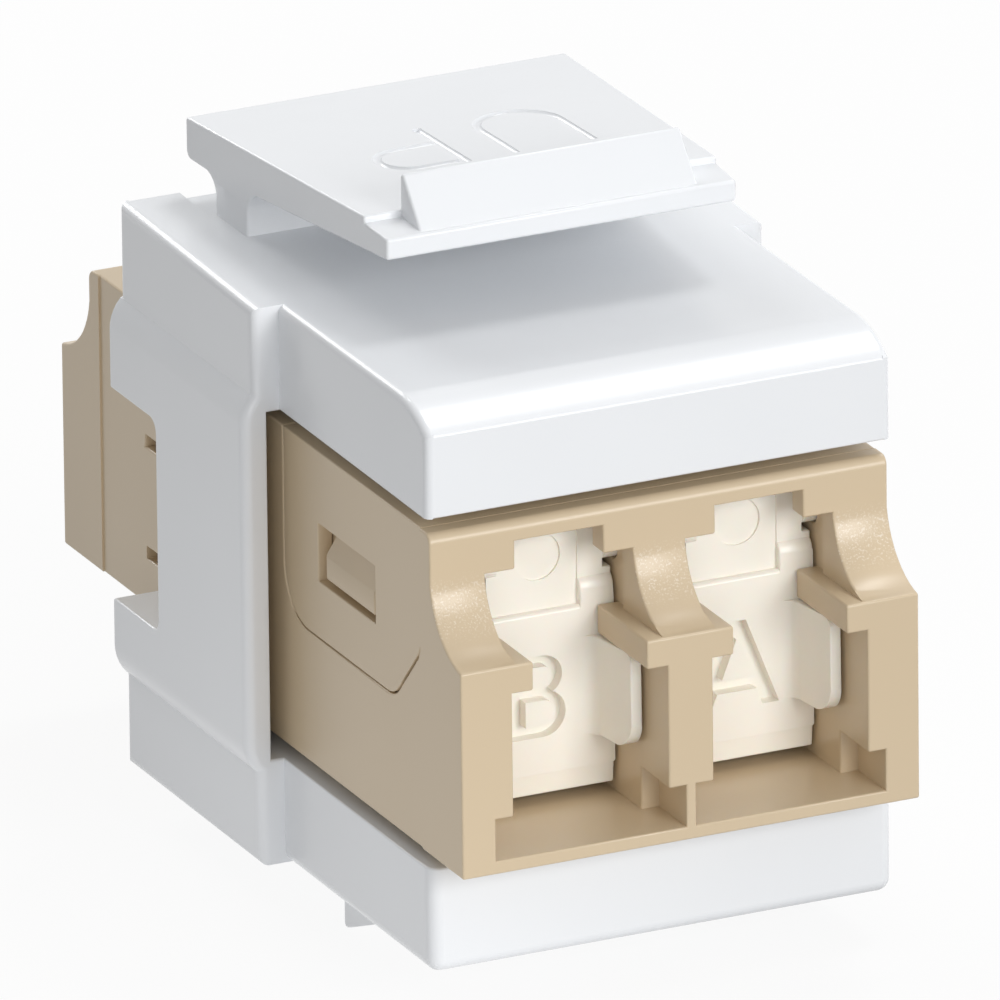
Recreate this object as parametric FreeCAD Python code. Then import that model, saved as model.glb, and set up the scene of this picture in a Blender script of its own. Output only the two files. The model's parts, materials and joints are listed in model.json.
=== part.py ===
"""Snap-in housing with a duplex LC fibre optic adapter behind sprung shutter doors.

Millimetres. X runs to the right seen from the front, Y to the rear, Z up.
The origin is the middle of the housing's lower front edge.
"""
import FreeCAD
import Part
import math
import os

V = FreeCAD.Vector
os.makedirs("parts", exist_ok=True)

# Heights, stacked from the underside of the housing upwards
lower_beam = 3.19
lower_seat_gap = 0.36
floor_thickness = 0.40
plug_height = 4.95
rail_thickness = 0.86
latch_zone_height = 2.04
notch_height = 0.84
bar_thickness = 0.61
upper_seat_gap = 0.50
upper_beam = 3.20

# Widths, from the middle outwards
port_pitch = 6.25
plug_width = 4.84
rear_plug_width = 4.66
side_wall = 1.555
rear_side_wall = 0.595
rim_step = 0.05
front_side_gap = 0.15
block_overhang = 0.80
shoulder_swell = 0.35
pillar_wall = 0.77
rear_side_gap = 0.30

# Lengths, from the front face of the housing
front_reach = 1.94
half_length = 14.72
beam_length = 9.85
flange_thickness = 1.17
stop_rib = 1.95
block_tail = 3.10

# Housing shape
roll_length = 1.90
roll_drop = 0.71
roll_bulge = 0.15
beam_edge_radius = 0.40
upper_edge_radius = 0.24
block_edge_radius = 0.30
block_rise = 0.24
shoulder_below = 0.34
shoulder_above = 0.55
shoulder_round = 0.90
side_cut_rise = 1.96
side_cut_drop = 2.15
side_cut_radius = 0.40
hook_inset = 0.80
hook_rear = 7.65
hook_depth = 1.39
hook_ramp = 3.40
hook_tip_radius = 0.15
crush_rib_width = 0.60
crush_rib_start = 3.80
bed_depth = 0.15
bed_margin = 0.15

# Latch lever
stem_inset = 2.05
stem_thickness = 1.98
stem_fillet = 0.65
tail_clear = 1.33
tail_thickness = 1.24
tail_overhang = 1.83
tail_radius = 0.30
lever_edge_radius = 0.10
root_lift = 0.13
lever_rise = 0.52
lever_reach = 8.67
nose_length = 1.40
nose_drop = 0.20
nose_slope = 0.06
nose_thickness = 0.63
tail_half_width = 6.00
nose_half_width = 5.47
catch_setback = 0.10
catch_height = 1.28
catch_half_length = 4.35
catch_run = 1.33
catch_radius = 0.12

# Port mouths
scoop_depth = 1.99
scoop_height = 1.94
scoop_bulge = 0.45
top_edge_radius = 0.30
rail_gap = 3.54
zone_width = 4.60
notch_width = 2.74
front_wall = 0.69
base_slot_width = 5.94
base_slot_height = 1.25
base_slot_depth = 1.84
rear_rail_length = 3.30
rear_latch_depth = 6.00
rear_notch_height = 0.44
rear_bar_thickness = 0.46

# Bulkhead and alignment sleeves
bulkhead = 1.28
boss_radius = 1.30
boss_lip = 0.40
ferrule_radius = 0.625
sleeve_wall = 0.175
sleeve_length = 6.80
sleeve_slot = 0.30
sleeve_clear = 0.05
lip_clear = 0.125
lead_in = 0.25

# Shutter doors
door_setback = 0.68
door_thickness = 0.80
door_side_gap = 0.09
door_floor_gap = 0.30
door_top_gap = 0.55
door_stop_gap = 0.06
hinge_setback = 0.33
hinge_drop = 0.50
pin_radius = 0.30
pin_clear = 0.05
pin_depth = 0.60
pin_end_gap = 0.07
hub_inset = 0.28
hub_drop = 0.53
hub_round = 0.22
crease_height = 0.66
crease_step = 0.05
crease_depth = 0.12
ledge_rise = 0.04
pocket_depth = 0.22
pocket_width = 3.60
mark_radius = 0.72
mark_offset = 0.05
mark_drop = 0.75
mark_raise = 0.08
fin_thickness = 0.34
fin_side_gap = 0.12
fin_setback = 1.49
fin_top_gap = 0.06
fin_height = 2.96
fin_top_radius = 0.35
fin_base_radius = 0.80
fin_flare = 0.24
fin_fillet = 0.45

# Return springs of the doors
wire_radius = 0.10
coil_turns = 2
coil_pitch = 0.22
coil_room = 0.06
spring_corner = 0.78
leg_gap = 0.02
leg_length = 2.60
foot_length = 1.00
foot_bend = 0.35

# Cover over the doors
cover_thickness = 0.55
cover_length = 9.26
cover_clear = 0.04
tongue_thickness = 0.50
tongue_drop = 5.17
tongue_rear_radius = 1.60
tongue_front_radius = 1.00
tongue_slant_run = 1.88
tongue_slant_rise = 2.02
window_setback = 3.11
window_length = 3.83
window_drop = 1.65
window_height = 1.75
tooth_rise = 0.23
tooth_slope = 0.78
tooth_end_gap = 0.53

# Overrun of a cutting shape past the face it opens
overrun = 1.0

# Snap arms of the rear half
arm_rise = 1.45
arm_height = 3.05
arm_slit = 0.40
arm_root_inset = 5.70
arm_lead = 0.30
barb_gap = 0.05
barb_length = 1.25
barb_flat = 0.30
barb_height = 0.85

# Derived heights
adapter_bottom = lower_beam + lower_seat_gap
floor_z = adapter_bottom + floor_thickness
port_z = floor_z + plug_height / 2
rail_low = floor_z + plug_height
rail_top = rail_low + rail_thickness
zone_top = rail_top + latch_zone_height
notch_top = zone_top + notch_height
adapter_top = notch_top + bar_thickness
tunnel_top = adapter_top + upper_seat_gap
housing_top = tunnel_top + upper_beam
seat_z = adapter_top - cover_thickness
rear_notch_top = zone_top + rear_notch_height
rear_top = rear_notch_top + rear_bar_thickness
rear_tunnel_top = rear_top + upper_seat_gap

# Derived widths
port_x = port_pitch / 2
plug_half = plug_width / 2
rear_plug_half = rear_plug_width / 2
adapter_hw = port_x + plug_half + side_wall
rear_hw = port_x + rear_plug_half + rear_side_wall
front_hw = adapter_hw + front_side_gap
block_hw = front_hw + block_overhang
shoulder_hw = block_hw + shoulder_swell
pillar_inner = shoulder_hw - pillar_wall
rear_tunnel_hw = rear_hw + rear_side_gap
hook_hw = front_hw - hook_inset
recess_floor = adapter_hw - tongue_thickness

# Derived lengths
mid_y = half_length - front_reach
rear_y = mid_y + half_length
stop_y = mid_y + flange_thickness
pillar_rear = stop_y + stop_rib
block_rear = pillar_rear + block_tail
upper_face = scoop_depth - front_reach
wall_inner = upper_face + front_wall
chamber_end = mid_y - bulkhead
stem_rear = block_rear - stem_inset
stem_front = stem_rear - stem_thickness

# Derived sizes of the doors, the cover and the sleeves
door_front = wall_inner + door_setback
door_back = door_front + door_thickness
door_half = plug_half - door_side_gap
door_low = floor_z + door_floor_gap
door_top = seat_z - door_top_gap
rail_end = door_front - door_stop_gap
hinge_y = door_front + hinge_setback
hinge_z = zone_top - hinge_drop
pin_reach = plug_half + pin_depth - pin_end_gap
pin_slot = pin_radius + pin_clear
coil_radius = door_back + leg_gap + wire_radius - hinge_y
cover_rear = wall_inner + cover_length
tongue_low = seat_z - tongue_drop
window_front = wall_inner + window_setback
window_rear = window_front + window_length
window_top = seat_z - window_drop
window_low = window_top - window_height
sleeve_radius = ferrule_radius + sleeve_wall
boss_bore = sleeve_radius + sleeve_clear
boss_reach = sleeve_length / 2 + sleeve_clear
lip_radius = ferrule_radius + lip_clear


def yz(y, z):
    return V(0, y, z)


def xz(x, z):
    return V(x, 0, z)


def face(start, *steps):
    """Flat face; a step is a corner, or a pair for an arc through the first point to the second."""
    edges = []
    here = start
    for step in steps:
        if isinstance(step, tuple):
            edges.append(Part.Arc(here, step[0], step[1]).toShape())
            here = step[1]
        else:
            edges.append(Part.makeLine(here, step))
            here = step
    edges.append(Part.makeLine(here, start))
    return Part.Face(Part.Wire(edges))


def rounded(*corners):
    """Flat face through (point, radius) corners, each corner rounded by its radius."""
    edges = []
    ends = []
    count = len(corners)
    for i in range(count):
        point, radius = corners[i]
        if radius <= 0:
            ends.append((point, point))
            continue
        back = (corners[i - 1][0] - point).normalize()
        onward = (corners[(i + 1) % count][0] - point).normalize()
        half = back.getAngle(onward) / 2
        reach = radius / math.tan(half)
        toward = (back + onward).normalize()
        first = point + back * reach
        last = point + onward * reach
        middle = point + toward * (radius / math.sin(half) - radius)
        edges.append(Part.Arc(first, middle, last).toShape())
        ends.append((first, last))
    for i in range(count):
        start = ends[i - 1][1]
        stop = ends[i][0]
        if start.distanceToPoint(stop) > 1e-7:
            edges.append(Part.makeLine(start, stop))
    return Part.Face(Part.Wire(Part.__sortEdges__(edges)))


def box(x0, x1, y0, y1, z0, z1):
    return Part.makeBox(x1 - x0, y1 - y0, z1 - z0, V(x0, y0, z0))


def along_x(flat, x0, x1):
    return flat.translated(V(x0, 0, 0)).extrude(V(x1 - x0, 0, 0))


def along_y(flat, y0, y1):
    return flat.translated(V(0, y0, 0)).extrude(V(0, y1 - y0, 0))


def along_z(flat, z0, z1):
    return flat.translated(V(0, 0, z0)).extrude(V(0, 0, z1 - z0))


def rod(x0, x1, y, z, radius):
    return Part.makeCylinder(radius, x1 - x0, V(x0, y, z), V(1, 0, 0))


def tube(x, y0, y1, radius):
    return Part.makeCylinder(radius, abs(y1 - y0), V(x, min(y0, y1), port_z), V(0, 1, 0))


def both_sides(shape):
    return shape.fuse(shape.mirror(V(0, 0, 0), V(1, 0, 0)))


def soften(shape, radius, wanted):
    """Round the edges whose middle passes the test."""
    return shape.makeFillet(radius, [edge for edge in shape.Edges if wanted(edge.CenterOfMass)])


def top_at(y):
    """Height of the block's top, which rises a little to the rear."""
    return housing_top + block_rise * (y - beam_length) / (block_rear - beam_length)


def housing():
    beam_end = beam_length + pillar_wall

    # Lower beam, its front corners rounded on all three edges
    lower = box(-front_hw, front_hw, 0, beam_end, 0, lower_beam)
    lower = soften(lower, beam_edge_radius, lambda c: (c.y < 0.01 and c.z < lower_beam - 0.01)
                   or (c.z < 0.01 and abs(c.x) > 1))

    # Upper beam, rolling over from its front face to its top
    roll_start = yz(0, housing_top - roll_drop)
    roll_end = yz(roll_length, housing_top)
    chord = roll_end - roll_start
    outward = yz(-chord.z, chord.y).normalize()
    roll_middle = roll_start + chord * 0.5 + outward * roll_bulge
    upper = along_x(face(roll_start, (roll_middle, roll_end), yz(beam_end, housing_top),
                         yz(beam_end, tunnel_top), yz(0, tunnel_top)), -front_hw, front_hw)
    upper = soften(upper, upper_edge_radius,
                   lambda c: abs(c.x) > 1 and c.z > tunnel_top + 0.01 and c.y < beam_length)

    # Wide block behind the beams, with swollen shoulders on its sides
    block = along_x(face(yz(beam_length, 0), yz(block_rear, 0), yz(block_rear, top_at(block_rear)),
                         yz(beam_length, top_at(beam_length))), -block_hw, block_hw)
    block = soften(block, block_edge_radius, lambda c: abs(c.x) > 1)
    swell_radius = (shoulder_round ** 2 + shoulder_swell ** 2) / (2 * shoulder_swell)
    swell = math.asin(shoulder_round / swell_radius) / 2
    mid_x = shoulder_hw - swell_radius * (1 - math.cos(swell))
    mid_rise = swell_radius * math.sin(swell)
    low = lower_beam - shoulder_below
    high = tunnel_top + shoulder_above
    low_end = low + shoulder_round
    high_end = high - shoulder_round
    pad = face(xz(pillar_inner, low), xz(block_hw, low),
               (xz(mid_x, low_end - mid_rise), xz(shoulder_hw, low_end)),
               xz(shoulder_hw, high_end), (xz(mid_x, high_end + mid_rise), xz(block_hw, high)),
               xz(pillar_inner, high))
    pad = along_y(pad, beam_length, block_rear)
    pad = soften(pad, block_edge_radius, lambda c: c.y < beam_length + 0.01 and c.x > block_hw)
    block = block.fuse(both_sides(pad))

    # Tunnel for the adapter, narrower behind the stop ribs, and cuts through the sides behind the pillars
    wide = box(-pillar_inner, pillar_inner, beam_length - overrun, stop_y, lower_beam, tunnel_top)
    narrow = box(-rear_tunnel_hw, rear_tunnel_hw, stop_y - overrun, block_rear + overrun,
                 lower_beam, rear_tunnel_top)
    cut_low = lower_beam + side_cut_rise
    cut_high = tunnel_top - side_cut_drop
    cut_end = block_rear + overrun
    side_cut = along_x(rounded((yz(pillar_rear, cut_low), side_cut_radius), (yz(cut_end, cut_low), 0),
                               (yz(cut_end, cut_high), 0), (yz(pillar_rear, cut_high), side_cut_radius)),
                       rear_hw, shoulder_hw + overrun)
    bed_half = tail_half_width + bed_margin
    bed_z = top_at(stem_rear) - bed_depth
    lever_bed = box(-bed_half, bed_half, stem_rear, cut_end, bed_z, bed_z + overrun)
    block = block.cut([wide, narrow, both_sides(side_cut), lever_bed])

    # Hook bar under the lower beam, ramped to the front
    hook_start = hook_rear - hook_ramp
    hook = along_x(rounded((yz(hook_rear, lower_beam / 2), 0), (yz(hook_rear, -hook_depth), hook_tip_radius),
                           (yz(hook_start, 0), 0), (yz(hook_start, lower_beam / 2), 0)), -hook_hw, hook_hw)

    # Ribs that grip the adapter between the beams
    rib_x = port_x + plug_half
    low_rib = box(rib_x - crush_rib_width, rib_x, crush_rib_start, stop_y, lower_beam / 2, adapter_bottom)
    high_rib = box(rib_x - crush_rib_width, rib_x, crush_rib_start, stop_y,
                   adapter_top, tunnel_top + upper_beam / 2)
    return block.fuse([lower, upper, hook, both_sides(low_rib), both_sides(high_rib)]).removeSplitter()


def lever():
    tail_y = stem_rear + tail_overhang
    nose_y = stem_front - lever_reach
    step_y = nose_y + nose_length
    under_tail = housing_top + tail_clear
    top_tail = under_tail + tail_thickness
    top_front = top_tail + lever_rise
    lip_top = top_front - nose_drop
    nose_top = lip_top - nose_slope
    nose_low = nose_top - nose_thickness
    profile = rounded((yz(tail_y, top_tail), lever_edge_radius), (yz(step_y, top_front), 0),
                      (yz(step_y, lip_top), 0), (yz(nose_y, nose_top), lever_edge_radius),
                      (yz(nose_y, nose_low), lever_edge_radius),
                      (yz(stem_front, under_tail + root_lift), stem_fillet),
                      (yz(stem_front, top_at(stem_front)), 0), (yz(stem_rear, top_at(stem_rear)), 0),
                      (yz(stem_rear, under_tail), stem_fillet),
                      (yz(tail_y, under_tail), tail_radius))
    plan = face(V(-tail_half_width, tail_y, 0), V(tail_half_width, tail_y, 0), V(nose_half_width, nose_y, 0),
                V(-nose_half_width, nose_y, 0))
    bar = along_x(profile, -tail_half_width, tail_half_width)
    bar = bar.common(along_z(plan, housing_top, top_front + overrun))

    # Catch across the nose, upright at its rear and ramped to the front
    catch_y = step_y + catch_setback
    catch_tip = catch_y - catch_run
    catch = along_x(rounded((yz(catch_y, lip_top - nose_thickness / 2), 0),
                            (yz(catch_y, top_front + catch_height), catch_radius),
                            (yz(catch_tip, nose_top), 0), (yz(catch_tip, nose_top - nose_thickness / 2), 0)),
                    -catch_half_length, catch_half_length)
    return bar.fuse(catch).removeSplitter()


def half_shell(face_y, way, inner_y, top, half_width):
    """Outside of one half of the adapter, scooped out over the ports at its open end."""
    upper_y = face_y + way * scoop_depth
    start = yz(face_y, rail_top)
    stop = yz(upper_y, rail_top + scoop_height)
    chord = stop - start
    inward = yz(way * chord.z, -abs(chord.y)).normalize()
    middle = start + chord * 0.5 + inward * scoop_bulge
    turn = top_edge_radius * (1 - math.sqrt(0.5))
    flat = face(yz(face_y, adapter_bottom), start, (middle, stop), yz(upper_y, top - top_edge_radius),
                (yz(upper_y + way * turn, top - turn), yz(upper_y + way * top_edge_radius, top)),
                yz(inner_y, top), yz(inner_y, adapter_bottom))
    return along_x(flat, -half_width, half_width)


def mouth(x, face_y, way, half, depth, rails, bar_low):
    """Space of one port mouth: plug cavity, gap between the rails, latch zone, notch and base slot."""
    def room(half_width, reach, z0, z1):
        y0, y1 = sorted((face_y - way * overrun, face_y + way * reach))
        return box(x - half_width, x + half_width, y0, y1, z0, z1)
    spare = half - plug_half
    return room(half, depth, floor_z, rail_low).fuse([
        room(rail_gap / 2, rails, floor_z, rail_top),
        room(zone_width / 2 + spare, rails, rail_top, zone_top),
        room(notch_width / 2, scoop_depth + front_wall, rail_top, bar_low),
        room(base_slot_width / 2 + spare, base_slot_depth, floor_z, floor_z + base_slot_height)])


def with_boss(body, x, way):
    """Body with the sleeve boss of one port: bored from the middle, its lip a tapered lead-in."""
    seat_end = mid_y - way * boss_reach
    body = body.fuse(tube(x, mid_y, seat_end - way * boss_lip, boss_radius))
    taper = Part.makeCone(lip_radius, lip_radius + lead_in, boss_lip, V(x, seat_end, port_z), V(0, -way, 0))
    return body.cut([tube(x, mid_y, seat_end, boss_bore), taper])


def tongue_outline(clear):
    """Outline of a side tongue of the cover, drawn in from its recess by the clearance."""
    front = wall_inner + clear
    rear = cover_rear - clear
    low = tongue_low + clear
    return rounded((yz(front, adapter_top), 0), (yz(front, low + tongue_slant_rise), tongue_front_radius),
                   (yz(front + tongue_slant_run, low), tongue_front_radius),
                   (yz(rear, low), tongue_rear_radius),
                   (yz(rear, adapter_top), 0))


def front_body():
    body = half_shell(-front_reach, 1, mid_y, adapter_top, adapter_hw)
    body = body.fuse(half_shell(-front_reach, 1, wall_inner, adapter_top, adapter_hw + rim_step))

    # Seat for the cover on top, recesses for its tongues with the snap teeth left standing
    seat = box(-adapter_hw - overrun, adapter_hw + overrun, wall_inner, cover_rear,
               seat_z, adapter_top + overrun)
    recess = along_x(tongue_outline(0), recess_floor, adapter_hw + overrun)
    catch_z = window_low + tooth_rise
    head_z = window_top - cover_clear
    tooth = face(xz(recess_floor - cover_clear, catch_z), xz(adapter_hw, catch_z),
                 xz(adapter_hw, head_z - tooth_slope), xz(recess_floor, head_z),
                 xz(recess_floor - cover_clear, head_z))
    tooth = along_y(tooth, window_front + cover_clear, window_rear - tooth_end_gap)
    body = body.cut([seat, both_sides(recess)]).fuse(both_sides(tooth))

    for x in (-port_x, port_x):
        # Port mouth, then the chamber the door swings in, open upwards under the cover
        opening = mouth(x, -front_reach, 1, plug_half, front_reach + chamber_end,
                        front_reach + rail_end, notch_top)
        body = body.cut([opening,
                         box(x - plug_half, x + plug_half, wall_inner, chamber_end, rail_top, seat_z),
                         box(x - plug_half, x + plug_half, rail_end, chamber_end, floor_z, seat_z)])
        # Slots that take the trunnions from above
        x0 = x - plug_half - pin_depth
        x1 = x + plug_half + pin_depth
        slot = rod(x0, x1, hinge_y, hinge_z, pin_slot).fuse(
            box(x0, x1, hinge_y - pin_slot, hinge_y + pin_slot, hinge_z, seat_z))
        body = with_boss(body.cut(slot), x, 1)
    return body.removeSplitter()


def rear_body():
    body = half_shell(rear_y, -1, mid_y, rear_top, rear_hw)
    rim_y = rear_y - scoop_depth - front_wall
    body = body.fuse(half_shell(rear_y, -1, rim_y, rear_top, rear_hw + rim_step))
    body = body.fuse(box(-adapter_hw, adapter_hw, mid_y, stop_y, adapter_bottom, adapter_top))
    latch_end = rear_y - rear_rail_length
    for x in (-port_x, port_x):
        latch_room = box(x - zone_width / 2, x + zone_width / 2, latch_end - rear_latch_depth, latch_end,
                         rail_low, zone_top)
        opening = mouth(x, rear_y, -1, rear_plug_half, half_length - bulkhead,
                        rear_rail_length, rear_notch_top)
        body = body.cut([opening, latch_room])
        body = with_boss(body, x, -1)

    # Snap arms cut free in the side walls, each with a barb that locks behind its stop rib
    arm_low = floor_z + arm_rise
    arm_high = arm_low + arm_height
    arm_front = pillar_rear - arm_lead
    arm_root = rear_y - arm_root_inset
    wall_in = port_x + rear_plug_half
    around = box(wall_in, rear_hw + overrun, arm_front - arm_slit, arm_root,
                 arm_low - arm_slit, arm_high + arm_slit)
    slit = around.cut(box(wall_in - overrun, rear_hw + 2 * overrun, arm_front, arm_root + overrun,
                          arm_low, arm_high))
    barb_y = pillar_rear + barb_gap
    barb_x = rear_hw + barb_height
    barb = face(V(wall_in, barb_y, 0), V(barb_x, barb_y, 0), V(barb_x, barb_y + barb_flat, 0),
                V(rear_hw, barb_y + barb_length, 0), V(wall_in, barb_y + barb_length, 0))
    barb = along_z(barb, arm_low, arm_high)
    return body.cut(both_sides(slit)).fuse(both_sides(barb)).removeSplitter()


def cover():
    plate = box(-adapter_hw, adapter_hw, wall_inner + cover_clear, cover_rear - cover_clear,
                seat_z, adapter_top)
    window = box(recess_floor - overrun, adapter_hw + overrun, window_front, window_rear,
                 window_low, window_top)
    tongue = along_x(tongue_outline(cover_clear), recess_floor + cover_clear, adapter_hw).cut(window)

    # Tabs that close the trunnion slots from above
    half = pin_slot - cover_clear
    inner = plug_half + cover_clear
    outer = plug_half + pin_depth - cover_clear
    tabs = []
    for x in (-port_x, port_x):
        for x0, x1 in ((x - outer, x - inner), (x + inner, x + outer)):
            tabs.append(box(x0, x1, hinge_y - half, hinge_y + half, hinge_z + pin_slot, adapter_top))
    return plate.fuse([both_sides(tongue)] + tabs).removeSplitter()


def door(x):
    # Plate, cut back at its upper corners for the hub and the spring
    hub_x = door_half - hub_inset
    hub_z = hinge_z - hub_drop
    turn = hub_round * (1 - math.sqrt(0.5))
    spring_x = spring_corner - door_half
    spring_z = hinge_z - coil_radius - wire_radius - coil_room
    outline = face(xz(-door_half, door_low), xz(door_half, door_low), xz(door_half, hub_z), xz(hub_x, hub_z),
                   xz(hub_x, door_top - hub_round),
                   (xz(hub_x - turn, door_top - turn), xz(hub_x - hub_round, door_top)),
                   xz(spring_x, door_top), xz(spring_x, spring_z), xz(-door_half, spring_z))
    plate = along_y(outline, door_front, door_back)

    # Front face: pocket above the ledge with its round mark, lower strip set back and leaning
    pocket_face = door_front + pocket_depth
    pocket = box(-door_half - overrun, pocket_width - door_half, door_front - overrun, pocket_face,
                 rail_top + ledge_rise, door_top + overrun)
    strip = along_x(face(yz(door_front, door_low + crease_height),
                         yz(door_front + crease_step, door_low + crease_height),
                         yz(door_front + crease_depth, door_low),
                         yz(door_front + crease_depth, door_low - overrun),
                         yz(door_front, door_low - overrun)),
                    -door_half, door_half)
    mark = Part.makeCylinder(mark_radius, door_back - pocket_face + mark_raise,
                             V(mark_offset, pocket_face - mark_raise, door_top - mark_drop), V(0, 1, 0))
    plate = plate.cut([pocket, strip]).fuse(mark)

    # Cam fin, flaring to its root and blended into the plate by a concave fillet
    fin_right = plug_half - fin_side_gap
    fin_left = fin_right - fin_thickness
    fin_front = fin_setback - front_reach
    fin_high = rail_low - fin_top_gap
    fin_low = fin_high - fin_height
    fin_root = door_front + door_thickness / 2
    root_left = fin_left - fin_flare
    blend_x = root_left - fin_fillet
    blend_y = door_front - fin_fillet
    bend = fin_fillet * math.sqrt(0.5)
    fin = along_x(rounded((yz(fin_root, fin_low), 0), (yz(fin_front, fin_low), fin_base_radius),
                          (yz(fin_front, fin_high), fin_top_radius), (yz(fin_root, fin_high), 0)),
                  blend_x, fin_right)
    beside = face(V(blend_x - overrun, fin_front - overrun, 0), V(fin_left, fin_front - overrun, 0),
                  V(fin_left, fin_front, 0), V(root_left, blend_y, 0),
                  (V(blend_x + bend, blend_y + bend, 0), V(blend_x, door_front, 0)),
                  V(blend_x - overrun, door_front, 0))
    fin = fin.cut(along_z(beside, fin_low - overrun, fin_high + overrun))

    # Trunnions on both sides
    pins = [rod(hub_x - pin_radius, pin_reach, hinge_y, hinge_z, pin_radius),
            rod(-pin_reach, spring_x + pin_radius, hinge_y, hinge_z, pin_radius)]
    return plate.fuse([fin] + pins).removeSplitter().translated(V(x, 0, 0))


def spring(x):
    """Torsion spring round the left trunnion: one leg down the back of the door, one up to the cover."""
    first_x = x - plug_half + 2 * leg_gap + wire_radius
    last_x = first_x + coil_turns * coil_pitch
    leg_y = hinge_y + coil_radius
    roof = seat_z - wire_radius - leg_gap
    start = V(first_x, leg_y, hinge_z - leg_length)
    edges = [Part.makeLine(start, V(first_x, leg_y, hinge_z))]

    def coil(half_turns):
        turn = math.pi * half_turns
        return V(first_x + coil_pitch * half_turns / 2, hinge_y + coil_radius * math.cos(turn),
                 hinge_z + coil_radius * math.sin(turn))
    for half in range(2 * coil_turns):
        edges.append(Part.Arc(coil(half), coil(half + 0.5), coil(half + 1)).toShape())
    bend_low = V(last_x, leg_y, roof - foot_bend)
    bend_end = V(last_x, leg_y + foot_bend, roof)
    turn = foot_bend * (1 - math.sqrt(0.5))
    edges.append(Part.makeLine(coil(2 * coil_turns), bend_low))
    edges.append(Part.Arc(bend_low, V(last_x, leg_y + turn, roof - turn), bend_end).toShape())
    edges.append(Part.makeLine(bend_end, bend_end + V(0, foot_length, 0)))
    ring = [start + V(wire_radius * math.cos(math.pi * i / 4), wire_radius * math.sin(math.pi * i / 4), 0)
            for i in range(9)]
    return Part.Wire(edges).makePipeShell([Part.makePolygon(ring)], True, False)


def sleeve(x):
    y0 = mid_y - sleeve_length / 2
    y1 = mid_y + sleeve_length / 2
    slot = box(x - sleeve_slot / 2, x + sleeve_slot / 2, y0 - overrun, y1 + overrun,
               port_z, port_z + 2 * sleeve_radius)
    return tube(x, y0, y1, sleeve_radius).cut([tube(x, y0 - overrun, y1 + overrun, ferrule_radius), slot])


nodes = {
    "keystone_housing": housing(),
    "latch_lever": lever(),
    "front_body": front_body(),
    "rear_body": rear_body(),
    "shutter_cover": cover(),
    "shutter_door_a": door(port_x),
    "shutter_door_b": door(-port_x),
    "shutter_spring_a": spring(port_x),
    "shutter_spring_b": spring(-port_x),
    "alignment_sleeve_a": sleeve(port_x),
    "alignment_sleeve_b": sleeve(-port_x),
}

for name, shape in nodes.items():
    shape.exportStep("parts/" + name + ".step")
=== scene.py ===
import bpy
import bmesh
import json
import math
from mathutils import Matrix, Vector


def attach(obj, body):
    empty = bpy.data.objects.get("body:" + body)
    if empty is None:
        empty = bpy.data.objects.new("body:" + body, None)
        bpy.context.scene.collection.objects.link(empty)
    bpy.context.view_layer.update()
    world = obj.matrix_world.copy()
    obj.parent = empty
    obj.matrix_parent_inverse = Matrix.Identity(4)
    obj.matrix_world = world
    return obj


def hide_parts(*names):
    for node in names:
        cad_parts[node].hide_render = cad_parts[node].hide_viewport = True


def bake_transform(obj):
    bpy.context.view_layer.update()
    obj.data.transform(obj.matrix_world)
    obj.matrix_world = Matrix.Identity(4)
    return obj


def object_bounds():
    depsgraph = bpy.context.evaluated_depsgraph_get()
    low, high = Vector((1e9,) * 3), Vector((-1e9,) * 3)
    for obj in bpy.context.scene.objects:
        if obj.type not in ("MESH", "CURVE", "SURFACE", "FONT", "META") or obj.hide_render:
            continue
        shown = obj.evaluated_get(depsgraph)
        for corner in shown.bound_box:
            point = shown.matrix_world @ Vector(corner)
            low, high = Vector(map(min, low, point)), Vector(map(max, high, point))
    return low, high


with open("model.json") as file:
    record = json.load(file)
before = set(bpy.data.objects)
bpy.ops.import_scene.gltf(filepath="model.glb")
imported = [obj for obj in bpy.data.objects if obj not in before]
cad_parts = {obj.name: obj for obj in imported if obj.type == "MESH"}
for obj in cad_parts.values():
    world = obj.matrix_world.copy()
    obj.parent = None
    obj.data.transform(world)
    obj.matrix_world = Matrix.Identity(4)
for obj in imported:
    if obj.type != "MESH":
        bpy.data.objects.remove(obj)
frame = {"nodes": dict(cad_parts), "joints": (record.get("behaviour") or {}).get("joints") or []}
cad_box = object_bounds()

# The object's lengths are written in millimetres, those of the stage and the lamps in metres
MM = 0.001
# A point this close to a plane counts as on it
NEAR = 0.02


def mm(x, y, z):
    return Vector((x, y, z)) * MM


def hinge_of(joint_name):
    """Middle of a hinge, from the frame."""
    place = next(joint["pos_m"] for joint in frame["joints"] if joint["name"] == joint_name)
    return [length / MM for length in place]


# Each door hangs in the middle of its port
PORT_A, HINGE_Y, HINGE_Z = hinge_of("shutter_a")
PORT_B = hinge_of("shutter_b")[0]


# Finishes

def node_of(tree, kind, **inputs):
    """Shader node with its plain input values set; underscores in names stand for spaces."""
    node = tree.nodes.new(kind)
    for key, value in inputs.items():
        node.inputs[key.replace("_", " ")].default_value = value
    return node


def new_finish(name, **values):
    """Material with a principled shader; returns its material, tree, shader and object coordinates."""
    material = bpy.data.materials.new(name)
    material.use_nodes = True
    tree = material.node_tree
    shader = tree.nodes["Principled BSDF"]
    for key, value in values.items():
        shader.inputs[key.replace("_", " ")].default_value = value
    coords = tree.nodes.new("ShaderNodeTexCoord").outputs["Object"]
    return material, tree, shader, coords


def painted(tree, shader, colour, roughness):
    tree.links.new(colour, shader.inputs["Base Color"])
    tree.links.new(roughness, shader.inputs["Roughness"])


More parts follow.
